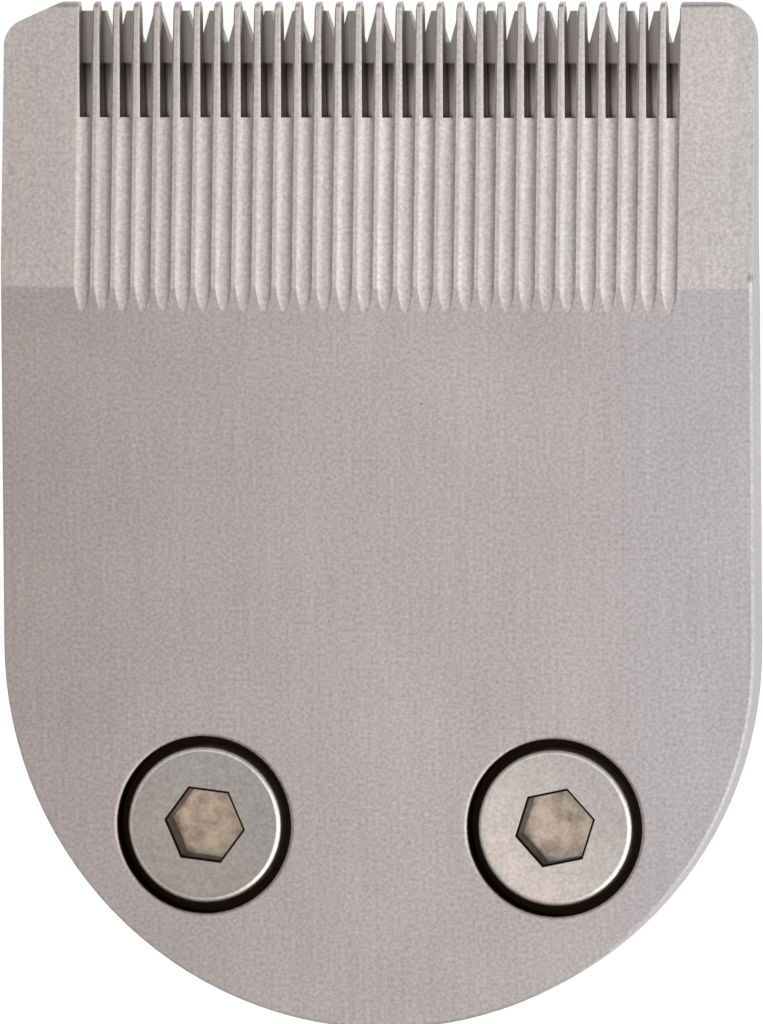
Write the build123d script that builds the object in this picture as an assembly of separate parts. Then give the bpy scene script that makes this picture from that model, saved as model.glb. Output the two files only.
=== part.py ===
from build123d import *

import math
import os

# Trimmer blade set lying on its back. A ground steel comb plate faces +Z with its teeth to +Y, and a cutter
# slides along X behind the teeth. A moulded carrier holds the comb with two socket screws in brass inserts,
# and a wire spring on the carrier presses the cutter's drive fork, and so the cutter, against the comb.
# The origin is on the resting plane, under the middle of the comb. Sizes are millimetres and degrees.

# Comb plate
plate_length = 45.5
plate_thickness = 2.0
lug_width = 3.25
tooth_pitch = 0.914
tooth_gap_count = 30
tip_thickness = 0.65
tip_round = 0.3
tip_flat = 0.17
tip_taper = 0.35
bevel_length = 12.6
slot_length = 5.1
slot_root_width = 0.47
slot_mouth_width = 0.65
groove_overrun = 1.2
groove_root_depth = 0.135
groove_radius = 0.6
groove_facets = 6
groove_facet_angle = 15.0
right_corner_radius = 1.7
left_slant_width = 2.57
left_slant_height = 1.15
left_corner_radius = 1.2
edge_break = 0.12
back_hollow_radius = 40.0
back_hollow_depth = 0.15
back_land_length = 6.1

# Screws and their seats in the comb
screw_spacing = 15.85
screw_from_end = 9.0
screw_length = 5.5
thread_diameter = 4.0
head_diameter = 7.0
head_chamfer = 0.18
head_sink = 0.05
seat_web = 0.7
counterbore_clearance = 0.45
shank_clearance = 0.2
counterbore_chamfer = 0.07
shank_end_chamfer = 0.5
socket_across_flats = 3.0
socket_depth = 1.6
socket_cone_depth = 0.3
left_socket_turn = -7.0
right_socket_turn = 12.0

# Brass inserts
insert_diameter = 5.6
insert_length = 4.6
insert_groove_width = 0.8
insert_groove_depth = 0.3
insert_chamfer = 0.3
insert_clearance = 0.02
thread_clearance = 0.03

# Cutter
cutter_pitch = 1.2548
cutter_notch_count = 21
cutter_lug = 1.85
cutter_setback = 0.42
cutter_length = 14.0
cutter_thickness = 1.5
cutter_tip_thickness = 0.5
cutter_bevel_length = 4.5
cutter_tooth_depth = 1.4
cutter_tip_flat = 0.28
cutter_root_flat = 0.18
cutter_land_length = 2.3
cutter_relief_depth = 0.25
cutter_heel_length = 5.0
cutter_corner_radius = 0.8
running_gap = 0.02
stroke = 1.0
stroke_position = 0.5

# Drive fork
fork_base_width = 18.0
fork_base_length = 6.4
fork_base_thickness = 1.2
fork_corner_radius = 1.0
fork_edge_break = 0.2
peg_diameter = 2.2
peg_spacing = 12.0
peg_from_rear = 3.2
peg_sink = 0.15
peg_clearance = 0.02
drive_slot_width = 4.6
drive_slot_length = 5.0
drive_slot_from_rear = 1.2
drive_slot_corner = 0.8
fork_wall = 1.5
fork_end_wall = 1.2
tail_headroom = 0.4
tail_gap = 0.1
tongue_reach = 1.2
tongue_width = 1.6
tongue_from_rear = 2.9
tongue_thickness = 1.2
guide_clearance = 0.08
guide_floor_gap = 0.4

# Carrier
carrier_height = 6.0
carrier_inset = 1.2
carrier_front_gap = 0.3
carrier_corner_radius = 1.0
carrier_edge_break = 0.5
window_side_gap = 0.4
window_corner_radius = 1.0
guide_end_gap = 0.25
wall_thickness = 1.5
boss_wall = 1.3
rib_thickness = 0.9
pocket_depth = 3.6
nose_reach = 0.55
nose_height = 1.6
nose_length = 6.0
nose_from_floor = 1.0
nose_from_front = 6.0

# Wire spring over the carrier's bars
wire_diameter = 0.7
wire_bend_radius = 1.0
wire_drop = 0.7
arm_wall_gap = 0.45
foot_length = 2.0
foot_from_front = 2.4
foot_gap = 0.05
bar_diameter = 1.6
bar_length = 1.7
bar_gap = 0.05
bar_end_gap = 1.2
yoke_length = 3.2
yoke_gap = 0.05
yoke_side_gap = 0.3

# Amount by which a cutting tool runs past the faces that it cuts
overcut = 1.0

# Heights
seat_z = carrier_height
face_z = seat_z + plate_thickness
head_seat_z = seat_z + seat_web
head_top_z = face_z - head_sink
cutter_top_z = seat_z - running_gap
cutter_back_z = cutter_top_z - cutter_thickness
fork_under_z = cutter_back_z - fork_base_thickness
tail_top_z = seat_z - tail_headroom
wire_radius = wire_diameter / 2
foot_z = fork_under_z - foot_gap - wire_radius
yoke_z = foot_z - wire_drop
bar_z = yoke_z - wire_radius - bar_gap - bar_diameter / 2

# Distances behind the tooth tips
cutter_rear = cutter_setback + cutter_length
carrier_front = cutter_rear + carrier_front_gap
tail_length = drive_slot_from_rear + drive_slot_length + fork_end_wall
tail_end = cutter_rear + tail_length
bar_centre = tail_end + bar_end_gap + bar_diameter / 2
window_end = bar_centre + bar_diameter / 2 + bar_end_gap
yoke_end = window_end + yoke_length
screw_from_tip = plate_length - screw_from_end

# Slope of the comb's bevel, and of the grooves, which leave the face at their run-out and deepen to the slots
bevel_rise = (plate_thickness - tip_thickness) / bevel_length
groove_length = bevel_length + groove_overrun
groove_drop = plate_thickness - tip_thickness - bevel_rise * slot_length + groove_root_depth
groove_slope = math.atan(groove_drop / (groove_length - slot_length))

# Widths and half widths
plate_width = tooth_pitch * tooth_gap_count + 2 * lug_width
plate_half = plate_width / 2
cutter_half = cutter_pitch * (cutter_notch_count - 1) / 2 + cutter_lug
tail_half = drive_slot_width / 2 + fork_wall
window_half = tail_half + stroke + window_side_gap
guide_half = window_half + tongue_reach + stroke + guide_end_gap
carrier_half = plate_half - carrier_inset
arm_x = window_half - arm_wall_gap - wire_radius
screw_x = screw_spacing / 2


def y_at(distance):
    """Y of a point that lies the given distance behind the tooth tips."""
    return plate_length / 2 - distance


tip_y = y_at(0)
end_y = y_at(plate_length)
screw_y = y_at(screw_from_tip)


def side_profile(points, half_width, centre_x=0.0):
    """Solid with a profile of (Y, Z) points, drawn out along X to both sides of its centre."""
    profile = Plane.YZ * make_face(Polyline(*points, close=True))
    return Pos(centre_x, 0, 0) * extrude(profile, half_width, both=True)


def block(x_range, y_range, z_range):
    """Rectangular block between the given limits."""
    size = [high - low for low, high in (x_range, y_range, z_range)]
    middle = [(high + low) / 2 for low, high in (x_range, y_range, z_range)]
    return Pos(*middle) * Box(*size)


def post(x, y, bottom, top, diameter):
    """Upright cylinder between two heights."""
    return Pos(x, y, (bottom + top) / 2) * Cylinder(diameter / 2, top - bottom)


def corner_at(sketch, x, y):
    """Corner of a flat sketch that is nearest to a point."""
    return sketch.vertices().sort_by_distance((x, y, 0))[0]


def rounded_end_outline(half_width, front_y):
    """Outline with a straight front, straight sides and a half-round end about the comb's end centre."""
    arc_y = end_y + plate_half
    sides = Polyline((half_width, arc_y), (half_width, front_y), (-half_width, front_y), (-half_width, arc_y))
    end = ThreePointArc((-half_width, arc_y), (0, arc_y - half_width), (half_width, arc_y))
    return make_face(sides + end)


def comb_blank():
    """Comb plate before its grooves: outline, bevelled front, rounded nose, broken edges and hollow back."""
    outline = rounded_end_outline(plate_half, tip_y)
    slant = Polyline(
        (-plate_half, tip_y - left_slant_height),
        (-plate_half + left_slant_width, tip_y),
        (-plate_half, tip_y),
        close=True,
    )
    outline -= make_face(slant)
    outline = fillet(corner_at(outline, -plate_half, tip_y - left_slant_height), left_corner_radius)
    outline = fillet(corner_at(outline, plate_half, tip_y), right_corner_radius)
    plate = extrude(Pos(0, 0, seat_z) * outline, plate_thickness)
    rim = plate.faces().sort_by(Axis.Z)[-1].edges()
    plate = chamfer(rim, edge_break)

    section = make_face(
        Polyline(
            (tip_y, seat_z),
            (tip_y, seat_z + tip_thickness),
            (y_at(bevel_length), face_z),
            (end_y - overcut, face_z),
            (end_y - overcut, seat_z),
            close=True,
        )
    )
    section = fillet(corner_at(section, tip_y, seat_z + tip_thickness), tip_round)
    plate &= extrude(Plane.YZ * section, plate_half, both=True)

    hollow_half = math.sqrt(2 * back_hollow_radius * back_hollow_depth - back_hollow_depth**2)
    hollow_y = y_at(back_land_length + hollow_half)
    hollow_z = seat_z + back_hollow_depth - back_hollow_radius
    hollow = Pos(0, hollow_y, hollow_z) * Rot(0, 90, 0) * Cylinder(back_hollow_radius, plate_width + overcut)
    return plate - hollow


def groove_tool():
    """Sweep of a wheel with a faceted round edge for one tooth gap at X = 0, sinking from the face to the tips."""
    angles = [math.radians(groove_facet_angle * (step - groove_facets / 2)) for step in range(groove_facets + 1)]
    wheel = Polyline(
        *[(groove_radius * math.sin(angle), groove_radius * (1 - math.cos(angle))) for angle in angles],
        close=True,
    )
    sink_direction = (0, math.cos(groove_slope), -math.sin(groove_slope))
    run_out = Plane(origin=(0, y_at(groove_length), face_z), x_dir=(-1, 0, 0), z_dir=sink_direction)
    sweep_length = (groove_length + overcut) / math.cos(groove_slope)
    start = run_out.offset(-overcut)
    return extrude(start * make_face(wheel), sweep_length + overcut)


def slot_tool():
    """Through slot of one tooth gap at X = 0, which widens to its mouth and more over the teeth's points."""
    root_half = slot_root_width / 2
    neck_half = (slot_mouth_width + (slot_root_width - slot_mouth_width) * tip_taper / slot_length) / 2
    mouth_half = (tooth_pitch - tip_flat) / 2
    side = [
        (root_half, y_at(slot_length)),
        (neck_half, y_at(tip_taper)),
        (mouth_half, tip_y),
        (mouth_half, tip_y + overcut),
    ]
    outline = Polyline(*side, *[(-x, y) for x, y in reversed(side)], close=True)
    return extrude(Pos(0, 0, seat_z - overcut) * make_face(outline), plate_thickness + 2 * overcut)


def fixed_blade():
    """Steel comb: the blank with its tooth gaps ground in and its two counterbored screw seats."""
    comb = comb_blank()
    first_x = -tooth_pitch * (tooth_gap_count - 1) / 2
    gap_tool = groove_tool() + slot_tool()
    comb -= [Pos(first_x + index * tooth_pitch, 0, 0) * gap_tool for index in range(tooth_gap_count)]
    bore = head_diameter + 2 * counterbore_clearance
    for x in (-screw_x, screw_x):
        comb -= post(x, screw_y, seat_z - overcut, face_z, thread_diameter + 2 * shank_clearance)
        comb -= post(x, screw_y, head_seat_z, face_z + overcut, bore)
        rim_height = 2 * counterbore_chamfer
        comb -= Pos(x, screw_y, face_z) * Cone(bore / 2, bore / 2 + rim_height, rim_height)
    return comb


def socket_screw(x, turn):
    """Low-head socket screw: chamfered head, hexagon socket with a drilled cone and a plain shank."""
    shank_end_z = head_seat_z - screw_length
    screw = post(x, screw_y, shank_end_z, head_seat_z, thread_diameter)
    screw = chamfer(screw.faces().sort_by(Axis.Z)[0].edges(), shank_end_chamfer)
    head = post(x, screw_y, head_seat_z, head_top_z, head_diameter)
    head = chamfer(head.faces().sort_by(Axis.Z)[-1].edges(), head_chamfer)
    screw += head
    hexagon = RegularPolygon(socket_across_flats / 2, 6, major_radius=False, rotation=turn)
    socket_floor_z = head_top_z - socket_depth
    screw -= extrude(Pos(x, screw_y, socket_floor_z) * hexagon, socket_depth + overcut)
    cone_z = socket_floor_z - socket_cone_depth / 2
    screw -= Pos(x, screw_y, cone_z) * Cone(0, socket_across_flats / 2, socket_cone_depth)
    return screw


def brass_insert(x):
    """Threaded insert, flush with the carrier's seat, with a groove round its middle."""
    bottom = seat_z - insert_length
    insert = post(x, screw_y, bottom, seat_z, insert_diameter)
    insert = chamfer(insert.edges().filter_by(GeomType.CIRCLE), insert_chamfer)
    middle = (bottom + seat_z) / 2
    low = middle - insert_groove_width / 2
    high = middle + insert_groove_width / 2
    ring = post(x, screw_y, low, high, insert_diameter + overcut)
    ring -= post(x, screw_y, low, high, insert_diameter - 2 * insert_groove_depth)
    insert -= ring
    bore = thread_diameter + 2 * thread_clearance
    return insert - post(x, screw_y, bottom - overcut, seat_z + overcut, bore)


def cutter_notch_tool():
    """Gap between two cutter teeth at X = 0: straight flanks that run to a narrow flat root."""
    tip = y_at(cutter_setback)
    root = tip - cutter_tooth_depth
    root_half = cutter_root_flat / 2
    mouth_half = (cutter_pitch - cutter_tip_flat) / 2
    outline = Polyline(
        (root_half, root),
        (mouth_half, tip),
        (mouth_half, tip + overcut),
        (-mouth_half, tip + overcut),
        (-mouth_half, tip),
        (-root_half, root),
        close=True,
    )
    bottom = cutter_back_z - overcut
    return extrude(Pos(0, 0, bottom) * make_face(outline), cutter_thickness + 2 * overcut)


def moving_blade():
    """Steel cutter: contact land, hollow and heel against the comb, a bevelled back and ground teeth."""
    tip = y_at(cutter_setback)
    rear = y_at(cutter_rear)
    land_end = tip - cutter_land_length
    heel_start = rear + cutter_heel_length
    relief_z = cutter_top_z - cutter_relief_depth
    blade = side_profile(
        (
            (tip, cutter_top_z),
            (land_end, cutter_top_z),
            (land_end, relief_z),
            (heel_start, relief_z),
            (heel_start, cutter_top_z),
            (rear, cutter_top_z),
            (rear, cutter_back_z),
            (tip - cutter_bevel_length, cutter_back_z),
            (tip, cutter_top_z - cutter_tip_thickness),
        ),
        cutter_half,
        stroke_position,
    )
    rear_corners = blade.edges().filter_by(Axis.Z).group_by(Axis.Y)[0]
    blade = fillet(rear_corners, cutter_corner_radius)
    first_x = stroke_position - cutter_pitch * (cutter_notch_count - 1) / 2
    notch = cutter_notch_tool()
    blade -= [Pos(first_x + index * cutter_pitch, 0, 0) * notch for index in range(cutter_notch_count)]
    hole = peg_diameter + 2 * peg_clearance
    for x in (-peg_spacing / 2, peg_spacing / 2):
        blade -= post(
            stroke_position + x, rear + peg_from_rear, cutter_back_z - overcut, cutter_top_z + overcut, hole
        )
    return blade


def drive_fork():
    """Moulded follower: a base staked to the cutter, a tail with the drive slot and two guide tongues."""
    rear = y_at(cutter_rear)
    tail_rear = y_at(tail_end)
    base = block(
        (-fork_base_width / 2, fork_base_width / 2),
        (rear, rear + fork_base_length),
        (fork_under_z, cutter_back_z),
    )
    base = fillet(base.edges().filter_by(Axis.Z), fork_corner_radius)
    base = chamfer(base.faces().sort_by(Axis.Z)[0].edges(), fork_edge_break)
    tail = block((-tail_half, tail_half), (tail_rear, rear - tail_gap), (fork_under_z, tail_top_z))
    tail = fillet(tail.edges().filter_by(Axis.Z).group_by(Axis.Y)[0], fork_corner_radius)
    tail += block(
        (-tail_half, tail_half),
        (rear - tail_gap, rear + fork_base_length / 2),
        (fork_under_z, cutter_back_z),
    )
    tongue_y = rear - tongue_from_rear
    tongue_half = window_half + tongue_reach
    tongue = block(
        (-tongue_half, tongue_half),
        (tongue_y - tongue_width, tongue_y),
        (fork_under_z, fork_under_z + tongue_thickness),
    )
    fork = base + tail + tongue
    slot = RectangleRounded(drive_slot_width, drive_slot_length, drive_slot_corner)
    slot_y = rear - drive_slot_from_rear - drive_slot_length / 2
    fork -= extrude(Pos(0, slot_y, fork_under_z - overcut) * slot, tail_top_z - fork_under_z + 2 * overcut)
    for x in (-peg_spacing / 2, peg_spacing / 2):
        fork += post(x, rear + peg_from_rear, cutter_back_z, cutter_top_z - peg_sink, peg_diameter)
    return Pos(stroke_position, 0, 0) * fork


def wall_strip(x_range, y_range):
    """Rectangle between two X and two Y limits, for a wall or rib that stays between the pockets."""
    width = x_range[1] - x_range[0]
    length = y_range[1] - y_range[0]
    return Pos(sum(x_range) / 2, sum(y_range) / 2) * Rectangle(width, length)


def carrier_pockets():
    """Pockets moulded into the carrier's underside, between its rim, ribs, bosses and the window's walls."""
    guide_rear = cutter_rear + tongue_from_rear + tongue_width + guide_clearance
    pockets = rounded_end_outline(carrier_half - wall_thickness, y_at(guide_rear + wall_thickness))
    spring_wall = yoke_end + wire_radius + yoke_side_gap + wall_thickness
    window_wall = window_half + wall_thickness
    pockets -= wall_strip((-window_wall, window_wall), (y_at(spring_wall), tip_y))
    boss = insert_diameter + 2 * boss_wall
    half_rib = rib_thickness / 2
    pockets -= wall_strip((-half_rib, half_rib), (end_y, tip_y))
    pockets -= wall_strip((-plate_half, plate_half), (screw_y - half_rib, screw_y + half_rib))
    for x in (-screw_x, screw_x):
        pockets -= Pos(x, screw_y) * Circle(boss / 2)
        rib_x = math.copysign((window_wall + carrier_half - wall_thickness) / 2, x)
        pockets -= wall_strip((rib_x - half_rib, rib_x + half_rib), (end_y, tip_y))
    return pockets


def blade_carrier():
    """Moulded carrier: half-round block with the drive window, guide slots, spring bars and insert bores."""
    front_y = y_at(carrier_front)
    window_y = y_at(window_end)
    outline = rounded_end_outline(carrier_half, front_y)
    outline = fillet(corner_at(outline, -carrier_half, front_y), carrier_corner_radius)
    outline = fillet(corner_at(outline, carrier_half, front_y), carrier_corner_radius)
    carrier = extrude(outline, carrier_height)
    carrier = chamfer(carrier.faces().sort_by(Axis.Z)[0].edges(), carrier_edge_break)

    window = block((-window_half, window_half), (window_y, front_y + overcut), (-overcut, seat_z + overcut))
    window = fillet(window.edges().filter_by(Axis.Z).group_by(Axis.Y)[0], window_corner_radius)
    carrier -= window
    guide_y = y_at(cutter_rear + tongue_from_rear)
    carrier -= block(
        (-guide_half, guide_half),
        (guide_y - tongue_width - guide_clearance, guide_y + guide_clearance),
        (fork_under_z - guide_floor_gap, seat_z + overcut),
    )

    yoke_room = arm_x + wire_radius + yoke_side_gap
    carrier -= block(
        (-yoke_room, yoke_room),
        (y_at(yoke_end) - wire_radius - yoke_side_gap, window_y + overcut),
        (-overcut, yoke_z + wire_radius + yoke_gap),
    )
    for side in (-1, 1):
        bar_middle = side * (window_half - bar_length / 2)
        place = Pos(bar_middle, y_at(bar_centre), bar_z) * Rot(0, 90, 0)
        carrier += place * Cylinder(bar_diameter / 2, bar_length)

    bore = insert_diameter + 2 * insert_clearance
    screw_hole = thread_diameter + 2 * shank_clearance
    for x in (-screw_x, screw_x):
        carrier -= post(x, screw_y, seat_z - insert_length, seat_z + overcut, bore)
        carrier -= post(x, screw_y, -overcut, seat_z, screw_hole)

    carrier -= extrude(Pos(0, 0, -overcut) * carrier_pockets(), pocket_depth + overcut)

    nose_y = front_y - nose_from_front
    for side in (-1, 1):
        profile = Polyline(
            (side * carrier_half, nose_from_floor),
            (side * (carrier_half + nose_reach), nose_from_floor + nose_height),
            (side * carrier_half, nose_from_floor + nose_height),
            close=True,
        )
        place = Plane(origin=(0, nose_y, 0), x_dir=(1, 0, 0), z_dir=(0, -1, 0))
        carrier += extrude(place * make_face(profile), nose_length)
    return carrier


def pressure_spring():
    """Bent wire: two feet under the fork, two arms over the carrier's bars and a yoke under its recess."""
    foot_y = y_at(cutter_rear) + fork_base_length - foot_from_front
    yoke_y = y_at(yoke_end)
    knee = (arm_x, foot_y - foot_length, foot_z)
    arm_end = (arm_x, y_at(tail_end), yoke_z)
    arm = Polyline((arm_x, foot_y, foot_z), knee, arm_end)
    yoke = FilletPolyline(arm_end, (arm_x, yoke_y, yoke_z), (0, yoke_y, yoke_z), radius=wire_bend_radius)
    section = Plane(origin=arm @ 0, z_dir=arm % 0) * Circle(wire_radius)
    half = sweep(section, arm + yoke, transition=Transition.RIGHT)
    return half + mirror(half, Plane.YZ)


nodes = {
    "fixed_blade": fixed_blade(),
    "moving_blade": moving_blade(),
    "drive_fork": drive_fork(),
    "blade_carrier": blade_carrier(),
    "pressure_spring": pressure_spring(),
    "screw_left": socket_screw(-screw_x, left_socket_turn),
    "screw_right": socket_screw(screw_x, right_socket_turn),
    "insert_left": brass_insert(-screw_x),
    "insert_right": brass_insert(screw_x),
}

os.makedirs("parts", exist_ok=True)
for name, shape in nodes.items():
    export_step(shape, f"parts/{name}.step")
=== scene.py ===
"""Looks of a trimmer blade set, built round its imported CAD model.

The comb, cutter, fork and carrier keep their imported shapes: the comb gets rounded screw seats, and the two
mouldings get rounded edges. The socket screws, the knurled inserts and the spring wire are modelled here. Sizes
in the classes are millimetres, and the meshes are metres.
"""

import logging
import math
from dataclasses import dataclass, field
from enum import Enum

import bmesh
import bpy
from bmesh.types import BMEdge, BMesh, BMVert
from bpy.types import Material, Node, NodeSocket, NodeTree, Object
from mathutils import Matrix, Vector


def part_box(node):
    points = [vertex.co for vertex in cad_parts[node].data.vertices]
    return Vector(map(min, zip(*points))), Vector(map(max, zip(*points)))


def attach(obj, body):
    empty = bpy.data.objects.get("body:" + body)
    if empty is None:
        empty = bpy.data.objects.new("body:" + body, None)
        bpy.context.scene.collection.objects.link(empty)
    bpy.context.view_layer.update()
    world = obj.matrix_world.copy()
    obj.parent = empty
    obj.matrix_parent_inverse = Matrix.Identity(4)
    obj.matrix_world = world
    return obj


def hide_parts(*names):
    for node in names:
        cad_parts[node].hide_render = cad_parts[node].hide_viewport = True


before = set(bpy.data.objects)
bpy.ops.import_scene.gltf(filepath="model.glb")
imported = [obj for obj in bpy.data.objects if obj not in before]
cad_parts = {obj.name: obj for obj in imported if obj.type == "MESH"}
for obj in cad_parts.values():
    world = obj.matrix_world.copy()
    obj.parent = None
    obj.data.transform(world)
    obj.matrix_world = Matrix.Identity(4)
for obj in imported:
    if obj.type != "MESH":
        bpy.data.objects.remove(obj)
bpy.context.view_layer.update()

MM = 0.001  # metres in a millimetre
MERGE = 0.0005  # millimetres within which two points are one
FLAT = math.radians(0.1)  # turn below which two faces are one flat face
SHARP = 25.0  # degrees of turn above which an edge is sharp
HEXAGON = 6
PHOTO_SIZE = (763, 1024)
LOG = logging.getLogger("blade_set")
Triple = tuple[float, float, float]


class Body(Enum):
    """The two bodies that pieces ride on."""

    COMB = "comb_unit"
    CUTTER = "cutter_unit"


class Side(Enum):
    """The two sides of the blade set that carry a screw, as the CAD nodes name them."""

    LEFT = "left"
    RIGHT = "right"


def linear(hex_colour: str) -> tuple[float, float, float, float]:
    """Gives the linear RGBA of an sRGB hex colour.

    Args:
        hex_colour: Colour as "#RRGGBB".

    Returns:
        Linear red, green and blue with an alpha of 1.
    """
    channels = [int(hex_colour[start:start + 2], 16) / 255 for start in (1, 3, 5)]
    return (*[c / 12.92 if c <= 0.04045 else ((c + 0.055) / 1.055) ** 2.4 for c in channels], 1.0)


def add_node(
    tree: NodeTree, kind: str, inputs: dict[int | str, object] | None = None, **settings: object
) -> Node:
    """Adds one shader node with its settings, input values and links.

    Args:
        tree: Node tree that gets the node.
        kind: Blender's identifier of the node, without its ShaderNode.
        inputs: A value, an output socket or a node for each input, by the input's name or number. A node stands
            for its first active output.
        settings: The node's own properties.

    Returns:
        The new node.
    """
    node = tree.nodes.new(f"ShaderNode{kind}")
    for name, value in settings.items():
        setattr(node, name, value)
    for key, value in (inputs or {}).items():
        if isinstance(value, Node):
            value = next(socket for socket in value.outputs if socket.enabled)
        if isinstance(value, NodeSocket):
            tree.links.new(value, node.inputs[key])
        else:
            node.inputs[key].default_value = value
    return node


def new_material(name: str) -> tuple[Material, NodeTree]:
    """Starts a material with an empty node tree.

    Args:
        name: Name of the real material and its finish.

    Returns:
        The material and its node tree.
    """
    material = bpy.data.materials.new(name)
    material.use_nodes = True
    material.node_tree.nodes.clear()
    return material, material.node_tree


@dataclass(frozen=True)
class Surface:
    """How a finish reflects: its roughness and how far that varies, its fine relief, and whether it is metal."""

    roughness: float
    spread: float
    bump: float
    bump_height: float
    metallic: float = 1.0

    def shade(self, tree: NodeTree, colour: Node, patches: Node, relief: Node) -> None:
        """Ends a material's tree with its shader and output.

        Args:
            tree: The material's node tree.
            colour: Node with the colour.
            patches: Node with the texture that varies the roughness.
            relief: Node with the height of the fine relief.
        """
        roughness = self.roughness
        if self.spread:
            lowest = self.roughness - self.spread / 2
            roughness = add_node(tree, "Math", {0: patches, 1: self.spread, 2: lowest}, operation="MULTIPLY_ADD")
        height = self.bump_height * MM
        bump = add_node(tree, "Bump", {"Height": relief, "Strength": self.bump, "Distance": height})
        shader = add_node(
            tree,
            "BsdfPrincipled",
            {"Base Color": colour, "Metallic": self.metallic, "Roughness": roughness, "Normal": bump},
        )
        add_node(tree, "OutputMaterial", {"Surface": shader})


@dataclass(frozen=True)
class Stain:
    """A discoloured patch: its middle, its reach along each axis, its colour, its cover and its solid core."""

    place: Triple
    reach: Triple
    colour_hex: str
    strength: float
    core: float = 0.2


@dataclass(frozen=True)
class PlateNodes:
    """What the parts of the comb's material share: tree, object coordinates and the plate's corners in metres."""

    tree: NodeTree
    place: NodeSocket
    x: NodeSocket
    y: NodeSocket
    z: NodeSocket
    low: Vector
    high: Vector


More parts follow.
